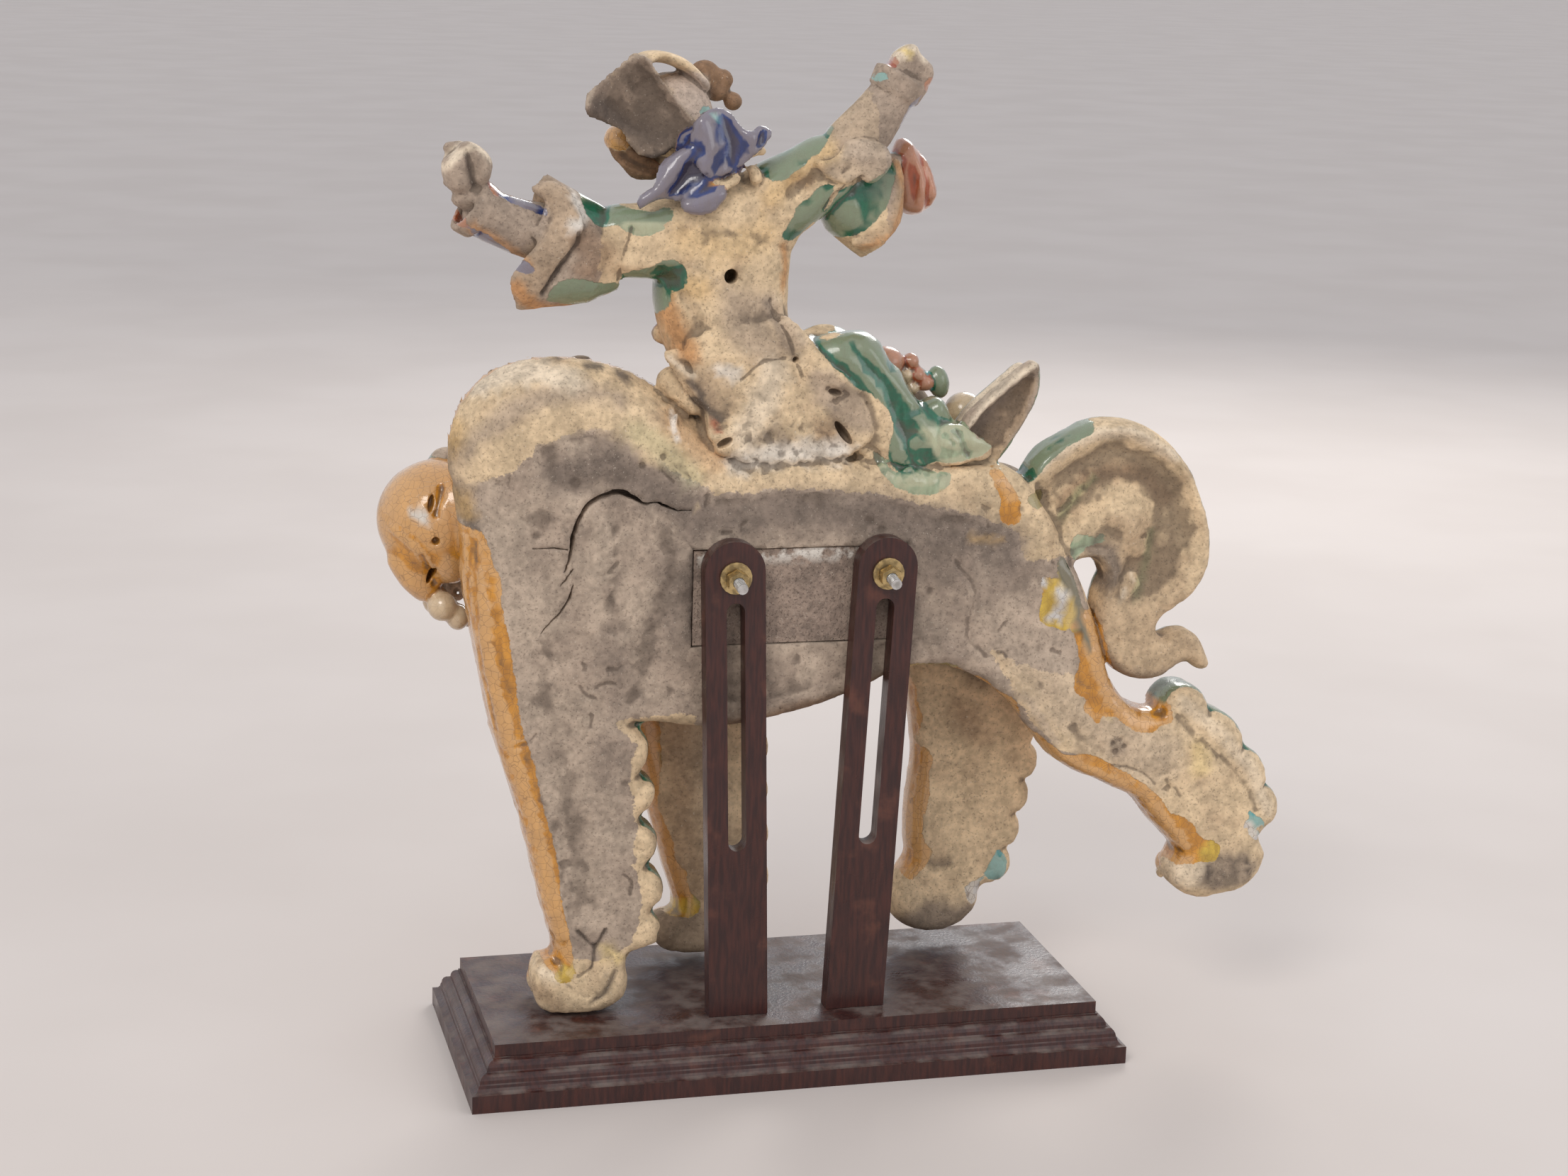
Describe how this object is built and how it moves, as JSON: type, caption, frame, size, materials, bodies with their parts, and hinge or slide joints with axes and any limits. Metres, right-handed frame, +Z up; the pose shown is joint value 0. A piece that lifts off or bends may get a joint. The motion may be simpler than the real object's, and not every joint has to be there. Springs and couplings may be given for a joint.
{
  "type": "glazed terracotta ridge figure of a warrior riding a lion, on a wooden stand",
  "caption": "Glazed terracotta warrior astride a guardian lion, seen from its bare flat back, rodded to slotted wooden uprights on a moulded base.",
  "frame": {"origin": "middle of the underside of the wooden base", "axes": "+Z up, -Y out of the figure's bare flat back, -X towards the lion's head"},
  "size_m": [0.5398, 0.178, 0.5915],
  "materials": {
    "glazed_terracotta": "bare and slipped terracotta with amber, green and cobalt lead glazes, worn and soiled",
    "mortar": "coarse grey cement mortar with white smears",
    "lacquered_wood": "dark reddish-brown lacquer, rubbed at the edges and dusty",
    "zinced_steel": "bright zinc plate",
    "yellow_zinc": "dull yellow-passivated zinc plate, soiled"
  },
  "bodies": {
    "root": {"warrior_on_lion": "glazed_terracotta", "mortar_block": "mortar", "stand_base": "lacquered_wood", "left_upright": "lacquered_wood", "left_stud": "zinced_steel", "left_washer": "yellow_zinc", "left_nut": "yellow_zinc", "right_upright": "lacquered_wood", "right_stud": "zinced_steel", "right_washer": "yellow_zinc", "right_nut": "yellow_zinc"}
  },
  "joints": []
}
